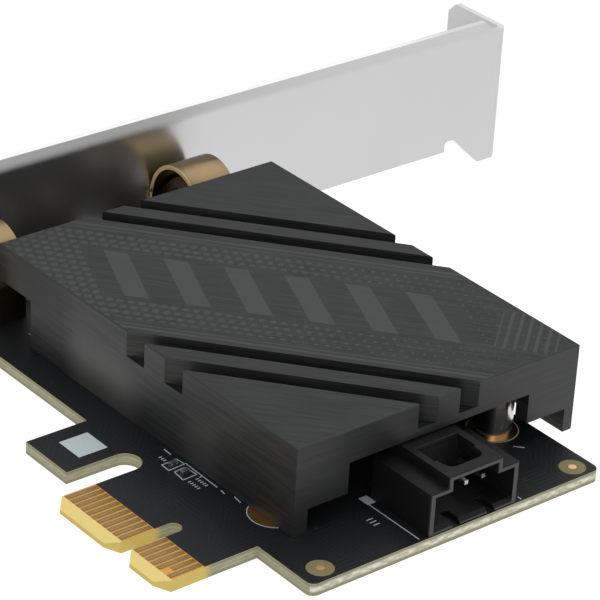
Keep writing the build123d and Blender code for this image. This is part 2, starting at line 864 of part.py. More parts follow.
# Cable header at the rear edge of the card, open towards the rear
low_y = header_mid - header_wide / 2
high_y = header_mid + header_wide / 2
crown_low = header_mid - crown_wide / 2
crown_high = header_mid + crown_wide / 2
shell = header_wall
with BuildPart() as header:
    with BuildSketch(Plane.YZ.offset(header_back)):
        with Locations((header_mid, header_tall / 2)):
            Rectangle(header_wide, header_tall)
        with Locations((header_mid, crown_tall / 2)):
            Rectangle(crown_wide, crown_tall)
    extrude(amount=header_long)
    # cavity with the same stepped roof
    with BuildSketch(Plane.YZ.offset(header_front)):
        with BuildLine():
            Polyline(
                (low_y + shell, header_floor),
                (high_y - shell, header_floor),
                (high_y - shell, header_tall - header_roof),
                (crown_high - shell, header_tall - header_roof),
                (crown_high - shell, crown_tall - header_roof),
                (crown_low + shell, crown_tall - header_roof),
                (crown_low + shell, header_tall - header_roof),
                (low_y + shell, header_tall - header_roof),
                close=True,
            )
        make_face()
    extrude(amount=header_bulk - header_long, mode=Mode.SUBTRACT)
    # lead-in on the floor
    across = header.edges().filter_by(Axis.Y)
    chamfer(across.sort_by_distance((header_front, header_mid, header_floor))[0], lead_in)
    # latch window through the crown, narrower and rounded towards the mouth
    neck_from = header_front - window_from
    wide_from = neck_from - window_neck_long
    with BuildSketch(Plane.XY.offset(crown_tall)):
        with Locations((wide_from - window_long / 2, header_mid)):
            Rectangle(window_long, window_wide)
        with Locations((neck_from - window_neck_long, header_mid)):
            RectangleRounded(2 * window_neck_long, window_neck, window_round)
    extrude(amount=-2 * header_roof, mode=Mode.SUBTRACT)
    # two gaps in the floor at the mouth
    with BuildSketch():
        with Locations(*[(header_front - lip_gap_deep / 2, header_mid + y) for y in lip_gap_at]):
            Rectangle(lip_gap_deep, lip_gap)
    extrude(amount=header_floor, mode=Mode.SUBTRACT)
    # seats of the pins through the rear wall
    with BuildSketch(Plane.YZ.offset(header_back)):
        with Locations(*[(y, pin_z) for y in header_y]):
            Rectangle(pin_side, pin_side)
    extrude(amount=header_bulk, mode=Mode.SUBTRACT)
header.part.label = "header"
export_step(header.part, "parts/header.step")

# Header pins, bent down into the board behind the housing
pin_tip = header_front - pin_set_back
half = pin_side / 2
with BuildPart() as header_pins:
    for y in header_y:
        with BuildSketch(Plane.XZ.offset(-y - half)):
            with BuildLine():
                Polyline(
                    (pin_tip, pin_z + half),
                    (pin_foot - half, pin_z + half),
                    (pin_foot - half, board_under - pin_out),
                    (pin_foot + half, board_under - pin_out),
                    (pin_foot + half, pin_z - half),
                    (pin_tip, pin_z - half),
                    close=True,
                )
            make_face()
        extrude(amount=pin_side)
header_pins.part.label = "header_pins"
export_step(header_pins.part, "parts/header_pins.step")

# Chip capacitors beside the heatsink: ceramic bodies and their metal ends
with BuildPart() as chips:
    with BuildSketch():
        with Locations(*chip_points):
            Rectangle(chip_wide, chip_long - 2 * chip_cap)
    extrude(amount=chip_tall)
chips.part.label = "chips"
export_step(chips.part, "parts/chips.step")

with BuildPart() as chip_ends:
    with BuildSketch():
        with Locations(*chip_points):
            with GridLocations(chip_wide, chip_long - chip_cap, 1, 2):
                Rectangle(chip_wide, chip_cap)
    extrude(amount=chip_tall)
chip_ends.part.label = "chip_ends"
export_step(chip_ends.part, "parts/chip_ends.step")
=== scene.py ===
# %% [markdown]
# ## A wireless card, dressed
#
# The object is a small expansion card: a black circuit board with a gold card edge, a grooved
# aluminium heatsink, a cable header and a bright steel bracket. Its solids arrive as the frame,
# in metres, with X along the card, Y up its height and Z out of the side with the parts. What
# follows gives each of them its finish, and adds what is too thin or too fine for the solids:
# printed marks, soldered joints, threads and tool marks.

# %% The frame
import bmesh
import bpy
import math
from mathutils import Matrix, Vector


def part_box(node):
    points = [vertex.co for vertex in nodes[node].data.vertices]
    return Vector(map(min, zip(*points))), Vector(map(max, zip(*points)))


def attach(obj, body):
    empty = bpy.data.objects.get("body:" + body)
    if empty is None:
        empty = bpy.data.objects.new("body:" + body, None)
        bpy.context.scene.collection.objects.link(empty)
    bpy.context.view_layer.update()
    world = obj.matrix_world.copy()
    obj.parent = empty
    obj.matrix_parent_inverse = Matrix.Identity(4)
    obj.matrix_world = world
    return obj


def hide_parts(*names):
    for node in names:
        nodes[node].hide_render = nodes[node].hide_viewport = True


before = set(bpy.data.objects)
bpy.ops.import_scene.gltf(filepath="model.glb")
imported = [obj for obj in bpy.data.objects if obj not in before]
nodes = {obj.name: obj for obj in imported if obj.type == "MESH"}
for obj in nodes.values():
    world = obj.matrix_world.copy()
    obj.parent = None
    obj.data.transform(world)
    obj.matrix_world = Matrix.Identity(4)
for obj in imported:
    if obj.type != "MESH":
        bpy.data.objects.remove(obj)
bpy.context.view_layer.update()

MM = 0.001
print("nodes in the frame:", len(nodes))

# %% [markdown]
# ## The camera
#
# The picture was taken with a long lens, so the card shows almost no perspective. Where the camera
# stands, its three axes and its focal length were solved from straight lines and known sizes of the
# card. They are written here as they came out, because guessing them by eye would leave every edge a
# little off. The axes become the columns of the camera's matrix: right, up, and back.

# %% Camera
picture_wide, focal_pixels = 600, 3058.9
eye = Vector((223.751, -166.732, 182.349)) * MM
right = Vector((0.62597129, 0.77807728, 0.05249455))
down = Vector((0.39962089, -0.26223816, -0.87837025))
ahead = Vector((-0.66967386, 0.57081248, -0.4750895))

lens_data = bpy.data.cameras.new("camera")
lens_data.sensor_width = 36.0
lens_data.lens = focal_pixels / picture_wide * lens_data.sensor_width
lens_data.clip_start = 0.01
camera = bpy.data.objects.new("camera", lens_data)
bpy.context.collection.objects.link(camera)
turn = Matrix((right, -down, -ahead)).transposed().to_4x4()
camera.matrix_world = Matrix.Translation(eye) @ turn
bpy.context.scene.camera = camera
bpy.context.scene.view_settings.view_transform = "Standard"
print("lens", round(lens_data.lens, 1), "mm, distance to the board", round(eye.length / MM), "mm")

# %% [markdown]
# ## The ground
#
# The card was photographed on white, cut free of any table. A backdrop could be a curved sheet, but a
# wide flat floor far below the card is enough: its edges lie outside the picture, and it still takes
# the card's soft shadow. It glows a little, because lit by the lamps alone it would turn grey.

# %% Floor
floor_z, floor_reach = -0.30, 6.0
signs = ((-1, -1), (1, -1), (1, 1), (-1, 1))
floor_mesh = bpy.data.meshes.new("floor")
floor_mesh.from_pydata([(x * floor_reach, y * floor_reach, floor_z) for x, y in signs], [], [(0, 1, 2, 3)])
floor = bpy.data.objects.new("floor", floor_mesh)
bpy.context.collection.objects.link(floor)

floor_paint = bpy.data.materials.new("floor_paint")
floor_paint.use_nodes = True
paint_sockets = floor_paint.node_tree.nodes["Principled BSDF"].inputs
paint_sockets["Base Color"].default_value = (0.9, 0.9, 0.9, 1)
paint_sockets["Roughness"].default_value = 0.9
paint_sockets["Emission Color"].default_value = (1, 1, 1, 1)
paint_sockets["Emission Strength"].default_value = 0.3
floor.data.materials.append(floor_paint)
print("floor", 2 * floor_reach, "m wide,", -floor_z, "m below the card")

# %% [markdown]
# ## The lamps
#
# A studio lights a product with softboxes, large white panes whose shadows have soft edges. A point lamp
# would draw hard ones, and an area lamp is a softbox as it stands. One hangs overhead. A smaller, weaker
# one stands beyond the rear corner, low enough to light the walls. Both shine along their own -Z axis,
# so tracking that axis turns them to the middle of the card.

# %% Softboxes
card_middle = Vector((-0.02, 0.04, 0))


def softbox(name, place, wide, power):
    lamp = bpy.data.lights.new(name, "AREA")
    lamp.shape = "SQUARE"
    lamp.size = wide
    lamp.energy = power
    box = bpy.data.objects.new(name, lamp)
    bpy.context.collection.objects.link(box)
    box.location = place
    box.rotation_euler = (card_middle - Vector(place)).to_track_quat("-Z", "Y").to_euler()
    print("softbox", name, wide, "m wide,", power, "W")


softbox("overhead", (-0.1, 0.3, 0.9), 0.9, 5.0)
softbox("side", (0.6, -0.5, 0.35), 0.4, 1.5)

# %% [markdown]
# ## Writing finishes as sums
#
# A finish is a graph of small nodes, and wiring them one by one hides what they work out. Here a socket
# is wrapped in a class that knows arithmetic, so that `2 * x + 1` makes two Math nodes and links them.
# Comparisons give 0 or 1, and `&` and `|` take the smaller and the larger, which joins masks. Python
# lets a class answer to each sign through a method with a fixed name, and a table gives them all.

# %% A socket that can be counted with
class Wire:
    """The output of one node, in the graph that the node is part of."""

    def __init__(self, graph, socket):
        self.graph = graph
        self.socket = socket

    def maths(self, operation, *values):
        kind = "ShaderNodeVectorMath" if self.socket.type == "VECTOR" else "ShaderNodeMath"
        return self.graph.node(kind, {"operation": operation}, dict(enumerate(values)))

    def __abs__(self):
        return self.maths("ABSOLUTE", self)

    def __floor__(self):
        return self.maths("FLOOR", self)


def answer_to(operation, swapped=False):
    def work_out(self, other):
        values = (other, self) if swapped else (self, other)
        return self.maths(operation, *values)

    return work_out


arithmetic = {
    "add": "ADD", "sub": "SUBTRACT", "mul": "MULTIPLY", "truediv": "DIVIDE",
    "mod": "FLOORED_MODULO", "pow": "POWER", "and": "MINIMUM", "or": "MAXIMUM",
}
for sign, operation in arithmetic.items():
    setattr(Wire, "__" + sign + "__", answer_to(operation))
    setattr(Wire, "__r" + sign + "__", answer_to(operation, swapped=True))
Wire.__lt__ = answer_to("LESS_THAN")
Wire.__gt__ = answer_to("GREATER_THAN")
print("signs that a wire knows:", len(arithmetic) + 2)

# %% [markdown]
# ## A graph and its nodes
#
# Materials and the world both hold a tree of nodes. One method makes any node in such a tree. It sets the
# node's choices first, because they decide which sockets exist, and then gives each socket its value or
# its link. Sockets that are switched off are passed over: a Mix node has several sockets named A, and
# only the one for the chosen kind of data is live.

# %% Any node from one method
def pick(sockets, key):
    live = [socket for socket in sockets if socket.enabled]
    if isinstance(key, int):
        return live[key]
    return next(socket for socket in live if socket.name == key)


class Graph:
    def __init__(self, tree):
        self.tree = tree

    def node(self, kind, settings={}, sockets={}, out=0):
        made = self.tree.nodes.new(kind)
        for setting, value in settings.items():
            setattr(made, setting, value)
        for key, value in sockets.items():
            self.join(value, pick(made.inputs, key))
        return Wire(self, pick(made.outputs, out))

    def join(self, value, socket):
        if isinstance(value, Wire):
            self.tree.links.new(value.socket, socket)
        elif socket.type == "VECTOR" and isinstance(value, (int, float)):
            socket.default_value = (value, value, value)
        else:
            socket.default_value = value


print("graph helper ready")

# %% [markdown]
# ## The sky
#
# White walls round a studio send light from all sides, and a world does the same. As bright as it should
# look, it would wash the card out. The Light Path node tells which kind of ray asks, so the camera and
# shiny metal see a bright sky, while the light that falls on the card is weaker.

# %% Sky
sky = bpy.data.worlds.new("sky")
bpy.context.scene.world = sky
sky.use_nodes = True
sky_graph = Graph(sky.node_tree)
fill_light = sky.node_tree.nodes["Background"]
fill_light.inputs["Color"].default_value = (1, 1, 1, 1)
fill_light.inputs["Strength"].default_value = 0.6
fill = Wire(sky_graph, fill_light.outputs[0])
seen = sky_graph.node("ShaderNodeBackground", {}, {"Color": (0.8, 0.8, 0.8, 1), "Strength": 1.0})
by_camera = sky_graph.node("ShaderNodeLightPath", out="Is Camera Ray")
by_shine = sky_graph.node("ShaderNodeLightPath", out="Is Glossy Ray")
chosen = sky_graph.node("ShaderNodeMixShader", {}, {0: by_camera | by_shine, 1: fill, 2: seen})
sky_graph.join(chosen, sky.node_tree.nodes["World Output"].inputs["Surface"])
print("sky nodes:", len(sky.node_tree.nodes))

# %% [markdown]
# ## A finish
#
# Every material below starts in the same way: one shader, its constants, the place of the point on the
# card in millimetres, and the direction that its face looks. Place and direction make masks, such as
# "near the bracket" or "on top". Object coordinates are used, so a pattern stays on the card from every
# side. Colours are written as they look on screen, which is how a colour is read off a picture.

# %% Colours as they look on screen
def tone(red, green, blue):
    """Screen values from 0 to 255, turned into the light values that shaders use."""
    shares = [v / 255 for v in (red, green, blue)]
    return (*[v / 12.92 if v <= 0.04045 else ((v + 0.055) / 1.055) ** 2.4 for v in shares], 1)


def dimmed(colour, share):
    return (*[v * share for v in colour[:3]], 1)


print("a mid grey of 128 is", round(tone(128, 128, 128)[0], 3), "of white light")

# %% A finish and its helpers
class Finish(Graph):
    def __init__(self, name, colour, **constants):
        self.material = bpy.data.materials.new(name)
        self.material.use_nodes = True
        super().__init__(self.material.node_tree)
        self.shader = self.tree.nodes["Principled BSDF"]
        self.feed(Base_Color=colour, **constants)
        self.at = self.node("ShaderNodeTexCoord", out="Object") * (1 / MM)
        self.x, self.y, self.z = self.parts(self.at)
        facing = self.node("ShaderNodeNewGeometry", out="True Normal")
        self.facing_x, self.facing_y, self.facing_z = self.parts(facing)

    def feed(self, **sockets):
        for socket, value in sockets.items():
            self.join(value, self.shader.inputs[socket.replace("_", " ")])

    def parts(self, vector):
        split = self.node("ShaderNodeSeparateXYZ", {}, {0: vector}).socket.node
        return [Wire(self, socket) for socket in split.outputs]

    def noise_at(self, place, scale, detail):
        return self.node("ShaderNodeTexNoise", {}, {"Vector": place, "Scale": scale, "Detail": detail})

    def noise(self, scale, stretch=(1, 1, 1), detail=3):
        return self.noise_at(self.at * stretch, scale, detail)

    def step(self, wire, low, high):
        """0 at low and 1 at high, smooth between. With low above high the mask falls instead of rising."""
        settings = {"interpolation_type": "SMOOTHSTEP"}
        return self.node("ShaderNodeMapRange", settings, {"Value": wire, "From Min": low, "From Max": high})

    def mix(self, share, first, second):
        sockets = {"Factor": share, "A": first, "B": second}
        return self.node("ShaderNodeMix", {"data_type": "RGBA"}, sockets, out="Result")

    def relief(self, height, depth, strength=1.0):
        sockets = {"Height": height, "Distance": depth * MM, "Strength": strength}
        self.feed(Normal=self.node("ShaderNodeBump", {}, sockets))

    def done(self):
        print("finish", self.material.name, "has", len(self.tree.nodes), "nodes")
        return self.material


print("finish helper ready")

# %% [markdown]
# ## The circuit board
#
# Solder mask is a thin lacquer over copper tracks, so it is never flat: each track lifts it by a few
# hundredths of a millimetre and shows as a faint line when light rakes over it. Real tracks could be
# drawn as curves, but there are hundreds. Here they are stripes whose direction is drawn by lot for each
# small field, which reads the same from a distance. Vias are the small round spots between them.

# %% Tracks under the lacquer
def copper_tracks(finish):
    field, pitch, wide, soft = 5.0, 0.62, 0.3, 0.06
    low_third, high_third, left_blank = 0.33, 0.66, 0.47
    place = math.floor(finish.at * (1 / field, 1 / field, 0))
    lot = finish.node("ShaderNodeTexWhiteNoise", {"noise_dimensions": "3D"}, {"Vector": place}, out="Value")
    diagonal = (finish.x + finish.y) * 0.7071
    middle = (lot < high_third) * (lot > low_third)
    across = (lot > high_third) * finish.y + middle * diagonal + (lot < low_third) * finish.x
    stripes = finish.step(abs(across % pitch - pitch / 2), wide / 2, wide / 2 - soft)
    routed = finish.noise(0.22) > left_blank
    return stripes * routed


def via_spots(finish):
    scale, radius = 0.3, 0.09
    cells = finish.node("ShaderNodeTexVoronoi", {}, {"Vector": finish.at, "Scale": scale}, out="Distance")
    return cells < radius


print("track helpers ready")

# %% [markdown]
# ## The board's cut edge
#
# Where the board is cut, its glass fibre lies bare: pale olive, with the copper layers as fine bands. The
# rear edge was sawn and is torn open, so a broken white core shows there. At the card edge there is no
# lacquer, and the bevel that helps the card into its slot is bare resin. All this follows from where a
# point lies and which way its face looks, so the board stays one piece with one material.

# %% Bare glass fibre
lacquer_ends_y = 5.85
sawn_from_x = 16.0


def cut_edge(finish, weave):
    layer_pitch, layer_half, core_z = 0.52, 0.05, -0.72
    layers = abs((finish.z + layer_pitch / 2) % layer_pitch - layer_pitch / 2) < layer_half
    clots = finish.step(finish.noise(0.8, (1, 1, 2.5)), 0.4, 0.62)
    sawn = (finish.facing_x > 0.5) & (finish.x > sawn_from_x)
    core = finish.step(abs(finish.z - core_z), 0.6, 0.1) * (0.2 + 0.8 * sawn)
    resin = finish.mix(weave, tone(122, 119, 90), tone(156, 153, 124))
    fibres = finish.mix(clots * 0.7 + weave * 0.3, tone(172, 170, 146), tone(228, 226, 214))
    return finish.mix(layers * 0.25, finish.mix(core, resin, fibres), tone(226, 222, 206))


def bare_card_edge(finish):
    from_x, to_x, to_y = -13, 9, 9
    tongues = (finish.x > from_x) & (finish.x < to_x) & (finish.y < to_y)
    return finish.step(finish.y, lacquer_ends_y + 1.2, lacquer_ends_y - 0.2) & tongues


print("lacquer ends", lacquer_ends_y, "mm above the edge")

# %% [markdown]
# ## The board's lacquer
#
# Now the masks meet. The lacquer is nearly black, with slow clouds in it, because a printed coat is never
# quite even, and tracks and vias show through a little lighter. A face that looks straight up or down is
# lacquered and smoother. Any other face is a cut, rougher, and its weave stands up as fine relief.

# %% Board lacquer
def board_finish():
    finish = Finish("board_lacquer", tone(26, 26, 27), Roughness=0.42, Specular_IOR_Level=0.16)
    lacquered = abs(finish.facing_z) > 0.99
    tracks = copper_tracks(finish)
    vias = via_spots(finish)
    cloud = finish.noise(0.12)
    weave = finish.noise(2.2, (1, 1, 6), detail=4)
    lacquer = finish.mix(cloud, tone(20, 21, 23), tone(28, 29, 31))
    lacquer = finish.mix(tracks * 0.3, lacquer, tone(34, 35, 37))
    lacquer = finish.mix(vias * 0.7, lacquer, tone(44, 42, 38))
    # no lacquer on the card edge: the amber board shows between the fingers and on the bevel
    bare = bare_card_edge(finish)
    bevel = (abs(finish.facing_y) > 0.2) & (abs(finish.facing_z) > 0.3)
    amber = finish.mix(weave, tone(194, 168, 86), tone(216, 194, 114))
    amber = finish.mix(bevel * 0.6, amber, tone(236, 214, 140))
    between_fingers = finish.mix(weave, tone(196, 140, 62), tone(216, 166, 84))
    lacquer = finish.mix(bare & (finish.y < lacquer_ends_y), lacquer, between_fingers)
    glass = finish.mix(bare | bevel, cut_edge(finish, weave), amber)
    finish.feed(Base_Color=finish.mix(lacquered, glass, lacquer))
    finish.feed(Roughness=0.72 - lacquered * 0.3 + cloud * 0.06)
    finish.relief(tracks * 0.6 + vias * 0.5 + (1 - lacquered) * weave, 0.03, 0.6)
    return finish.done()


board_lacquer = board_finish()

# %% [markdown]
# ## The radio module's board
#
# Under the heatsink lies a second, smaller board with the radio on it. Only its edges can be seen from
# low down, so its lacquer is a plain green with straight tracks in one direction.

# %% Module lacquer
def module_finish():
    pitch, half_wide = 0.7, 0.12
    finish = Finish("module_lacquer", tone(22, 62, 44), Roughness=0.4, Specular_IOR_Level=0.3)
    stripes = abs(finish.y % pitch - pitch / 2) < half_wide
    finish.feed(Base_Color=finish.mix(stripes * 0.5, tone(18, 54, 38), tone(30, 78, 54)))
    finish.relief(stripes, 0.02, 0.5)
    return finish.done()


module_lacquer = module_finish()

# %% [markdown]
# ## Metals
#
# Most of what shines here is a plated metal, and plated metals differ in colour and in how they were
# worked. A function takes the colour, the roughness and how far the tool marks are squeezed along each
# axis. Fast noise squeezed that way makes the marks, and slower noise gives the handled patches that
# keep a wide face from looking like paint.

# %% Plated and worked metals
def metal(name, colour, roughness, marks=(1, 1, 1), depth=0.004, patch=0.05, shade=0.1):
    finish = Finish(name, colour, Metallic=1.0, Roughness=roughness)
    scratches = finish.noise(3.0, marks, detail=4)
    clouds = finish.noise(patch, detail=2)
    finish.feed(Base_Color=finish.mix(scratches * 0.5 + clouds * 0.5, dimmed(colour, 1 - shade), colour))
    finish.feed(Roughness=roughness + (clouds - 0.5) * 0.12 + (scratches - 0.5) * 0.1)
    finish.relief(scratches, depth, 0.35)
    return finish.done()


screw_steel = metal("screw_steel", tone(176, 176, 178), 0.3, marks=(2, 2, 2), depth=0.006, patch=0.5)
post_nickel = metal("post_nickel", tone(214, 212, 208), 0.2, marks=(0.2, 0.2, 6), depth=0.006, patch=0.3)
plug_nickel = metal("plug_nickel", tone(212, 208, 198), 0.28, marks=(2, 2, 0.4), patch=0.6)
shield_steel = metal("shield_steel", tone(206, 206, 204), 0.3, marks=(0.2, 3, 3), depth=0.003, patch=0.1)
pin_gold = metal("pin_gold", tone(222, 206, 168), 0.22, marks=(0.5, 4, 4), depth=0.003, patch=0.5)
brass = metal("brass", tone(204, 176, 112), 0.28, marks=(0.3, 0.3, 5), patch=0.3)
tin = metal("tin", tone(214, 214, 212), 0.3, depth=0.01, patch=0.8)
dot_copper = metal("dot_copper", tone(244, 196, 142), 0.4, marks=(2, 2, 2), depth=0.006, patch=0.8)
pad_gold = metal("pad_gold", tone(206, 150, 84), 0.34, depth=0.012, patch=0.9, shade=0.3)

# %% [markdown]
# ## The bracket's plating
#
# The bracket is pressed from nickel-plated sheet. Its flat face mirrors the dark heatsink softly, with
# faint marks from the rolls. A band along the top edge and another round the bend are a painted
# reflection of the white room: there the mask takes the metal out of the shader and leaves a plain pale
# grey. The faces that look up, short of the tab, get a painted highlight, near white.

# %% Nickel sheet
def bracket_finish():
    finish = Finish("plate_nickel", tone(203, 203, 204), Metallic=1.0, Roughness=0.28)
    clouds = finish.noise(0.05, detail=2)
    rolled = finish.noise(1.5, (2, 0.2, 6))
    # painted reflection: the band along the top and the one round the bend are flat pale grey, not metal
    rim = finish.step(finish.z, 13.8, 15.3)
    bend = finish.step(finish.y, 107.6, 109.4)
    painted_reflection_band = rim | bend
    # painted highlight: faces that look up, short of the tab, are coloured nearly white
    painted_top_highlight = finish.step(finish.facing_z, 0.3, 0.8) * finish.step(finish.y, 102.0, 86.0)
    bright = finish.mix(clouds, tone(198, 198, 199), tone(205, 205, 205))
    colour = finish.mix(rim, finish.mix(bend, bright, tone(212, 212, 212)), tone(204, 204, 204))
    finish.feed(Base_Color=finish.mix(painted_top_highlight, colour, tone(240, 240, 240)))
    finish.feed(Metallic=1 - painted_reflection_band, Roughness=0.26 + clouds * 0.05 + painted_reflection_band * 0.36)
    finish.relief(rolled, 0.0005, 0.3)
    return finish.done()


plate_nickel = bracket_finish()

# %% [markdown]
# ## The gold frames
#
# An arched frame of gold-plated sheet holds each jack. It is darker than the contacts, because the coat
# is thin. The faces under the arch and the end faces are painted shade, a dark brown, and the cut rim
# gets a bright painted highlight. The direction of each face tells these apart, so no face has to be
# chosen by hand.

# %% Frame gold
def frame_finish():
    middle_x, half_long = -54.05, 5.0
    finish = Finish("frame_gold", tone(122, 105, 78), Metallic=1.0, Roughness=0.34)
    drawn = finish.noise(1.8, (0.6, 4, 0.6), detail=4)
    clouds = finish.noise(0.25, detail=2)
    # painted highlight: the cut rim is coloured bright gold and made less metallic
    cut = finish.step(abs(finish.facing_y), 0.4, 0.9)
    ends = (abs(finish.facing_x) > 0.98) * (abs(finish.x - middle_x) < half_long)
    # painted shade: faces under the arch and the end faces are coloured dark brown
    inner = finish.step(finish.facing_z, -0.1, -0.3) | ends
    gold = finish.mix(drawn * 0.5 + clouds * 0.5, tone(98, 84, 62), tone(126, 109, 82))
    gold = finish.mix(inner, gold, finish.mix(drawn, tone(66, 50, 30), tone(92, 70, 44)))
    finish.feed(Base_Color=finish.mix(cut, gold, tone(226, 200, 146)))
    finish.feed(Metallic=1 - cut * 0.8, Roughness=0.3 + clouds * 0.12)
    finish.relief(drawn, 0.003, 0.35)
    return finish.done()


frame_gold = frame_finish()

# %% [markdown]
# ## The jacks' two ends
#
# An antenna jack is gold outside the bracket. Its inner end, inside the frame, is soldered, and there
# its colour fades to a dark brown that is painted shade. The same is done for the pale insulator in it.
# Two materials on each would need a cut through the mesh, so one function takes the outside's colour
# and fades to the painted brown past the bracket.

# %% Outside colour, painted shade inside
def inner_end(name, outside, roughness, metallic):
    unshaded_to_x, shaded_from_x = -59.9, -59.3
    finish = Finish(name, outside, Metallic=metallic, Roughness=roughness)
    grain = finish.noise(2.4, (0.4, 3, 3), detail=4)
    # painted shade: past the bracket, inside the frame, the colour fades to dark brown
    stain_and_shade = finish.step(finish.x, unshaded_to_x, shaded_from_x)
    outside_grain = finish.mix(grain, dimmed(outside, 0.82), outside)
    shade_brown = finish.mix(grain, tone(52, 34, 16), tone(74, 50, 26))
    finish.feed(Base_Color=finish.mix(stain_and_shade, outside_grain, shade_brown))
    finish.feed(Roughness=roughness + (grain - 0.5) * 0.1 + stain_and_shade * 0.2)
    finish.relief(grain, 0.005, 0.35)
    return finish.done()


jack_gold = inner_end("jack_gold", tone(196, 164, 110), roughness=0.28, metallic=1.0)
dielectric = inner_end("dielectric", tone(150, 140, 118), roughness=0.5, metallic=0.0)

# %% [markdown]
# ## The card edge
#
# Gold fingers are polished flat but not clean: the slot's springs leave a pale rubbed lane down the
# middle of each, and near the lacquer the gold is darker, where the plating bath's mask ended. The
# fingers lie one millimetre apart, so the remainder of X finds the middle of each of them at once.

# %% Gold fingers
def finger_finish():
    finger_pitch = 1.0
    finish = Finish("finger_gold", tone(206, 158, 62), Metallic=1.0, Roughness=0.3)
    off_middle = abs(finish.x % finger_pitch - finger_pitch / 2)
    touched = finish.step(finish.y, 1.4, 2.2) * (finish.y < 4.2)
    lane = finish.step(off_middle, 0.16, 0.05) * touched
    grain = finish.noise(2.6, (5, 0.5, 1), detail=4)
    stain_and_shade = finish.step(finish.y, 4.9, 5.7)
    gold = finish.mix(grain, tone(134, 106, 68), tone(162, 132, 88))
    gold = finish.mix(lane * 0.35, gold, tone(206, 172, 120))
    gold = finish.mix(stain_and_shade * 0.5, gold, tone(140, 98, 48))
    finish.feed(Base_Color=gold, Roughness=0.26 + grain * 0.16 - lane * 0.08)
    finish.relief(grain, 0.006, 0.4)
    return finish.done()


finger_gold = finger_finish()

# %% [markdown]
# ## The heatsink's grain
#
# The block was milled, brushed and then dyed anthracite. Brushing leaves a grain that runs one way on each
# face: along the grooves on top and lengthwise on the walls. Noise squeezed across that way and pulled
# out along it gives the grain, and the direction of the face picks which of the two is used.

# %% Brushed grain
groove_angle = math.radians(40.1)


def groove_axes(finish):
    """Distances along the grooves and across them, in millimetres."""
    cosine, sine = math.cos(groove_angle), math.sin(groove_angle)
    return finish.x * cosine + finish.y * sine, finish.y * cosine - finish.x * sine


def brushed_grain(finish, top, along, across):
    pull, squeeze_lid, squeeze_wall = 0.1, 2.8, 3.0
    scale, detail = 1.3, 4
    sockets = {"X": along * pull, "Y": across * squeeze_lid, "Z": 0.0}
    lid = finish.noise_at(finish.node("ShaderNodeCombineXYZ", {}, sockets), scale, detail)
    wall = finish.noise(scale, (pull, pull, squeeze_wall), detail)
    return top * lid + (1 - top) * wall


print("grooves run", round(math.degrees(groove_angle), 1), "degrees off the card's length")

# %% [markdown]
# ## The etched design
#
# The top carries a faint pattern that a laser has etched into the dye. It could be thin geometry, but it
# has no depth, so a mask does it: staggered dots that shrink towards the header, a row of slanted bars
# with room kept free round them, a pair of ruled lines on both sides, and a comb of short strokes at
# one end. Each is a distance compared with a size, worked out along the grooves and across them.

# %% Dots, bars, rules and comb
def dot_field(finish, along, across):
    pitch, largest, shrink = 1.3, 0.34, 0.26
    band_from, band_to = 30.5, 50.5
    row = math.floor(across / pitch)
    cell_x = (along / pitch + (row % 2) * 0.5) % 1.0 - 0.5
    cell_y = (across / pitch) % 1.0 - 0.5
    reach = (cell_x * cell_x + cell_y * cell_y) ** 0.5
    radius = largest - finish.step(along, -8.0, 44.0) * shrink
    return (reach < radius) & (across > band_from) & (across < band_to)


def slanted_bars(along, across):
    """The bars, and the ground round them that the dots keep free."""
    pitch, half_bar, half_long, lean = 7.4, 1.5, 5.2, 0.5
    slanted = along + across * lean
    off_row, off_centre = abs(across - 41.0), abs(slanted - pitch * 4)
    in_pitch = abs(slanted % pitch - pitch / 2) < half_bar
    bars = in_pitch & (off_row < half_long) & (off_centre < pitch * 3)
    kept_free = (off_row < half_long + 1.0) & (off_centre < pitch * 3 + 0.6)
    return bars, kept_free


def etched_design(finish, along, across):
    bars, kept_free = slanted_bars(along, across)
    comb_pitch, tooth_half = 1.2, 0.2
    teeth = abs(along % comb_pitch - comb_pitch / 2) < tooth_half
    comb = teeth & (abs(across - 40.5) < 4.5) & (abs(along - 39.0) < comb_pitch * 3)
    design = (dot_field(finish, along, across) & (1 - kept_free)) | bars | comb
    for place, half_wide in ((28.6, 0.22), (29.4, 0.1), (51.4, 0.1), (52.3, 0.22)):
        design = design | (abs(across - place) < half_wide)
    return design


print("etching helpers ready")

# %% [markdown]
# ## Painted sheen and shade on the long wall
#
# The long wall gets upright bands of painted light: a wide lighter one and a narrow faint one low down
# are a painted sheen, and a darker one near the bracket, higher up, is painted shade. A detailed room
# for the metal to mirror would give such bands, but the room here is plain, so they are painted into the
# colour.

# %% Painted bands on the wall
def painted_wall_bands(finish, dye_and_painted_light):
    dark_x, wide_x, narrow_x = -39.0, -27.0, -8.0
    long_wall = finish.facing_y < -0.9
    low_down = finish.step(finish.z, 9.5, 3.5)
    # painted shade: a darker band near the bracket, higher up
    painted_shade_band = finish.step(abs(finish.x - dark_x), 8.0, 2.0) * (1 - low_down) * long_wall
    # painted sheen: lighter bands low down on the long wall
    painted_sheen_wide = finish.step(abs(finish.x - wide_x), 9.0, 3.0)
    painted_sheen_narrow = finish.step(abs(finish.x - narrow_x), 5.0, 1.0) * 0.4
    dye_and_painted_light = finish.mix(painted_shade_band * 0.5, dye_and_painted_light, tone(36, 36, 35))
    return finish.mix((painted_sheen_wide | painted_sheen_narrow) * low_down * long_wall, dye_and_painted_light, tone(94, 94, 93))


print("wall bands ready")
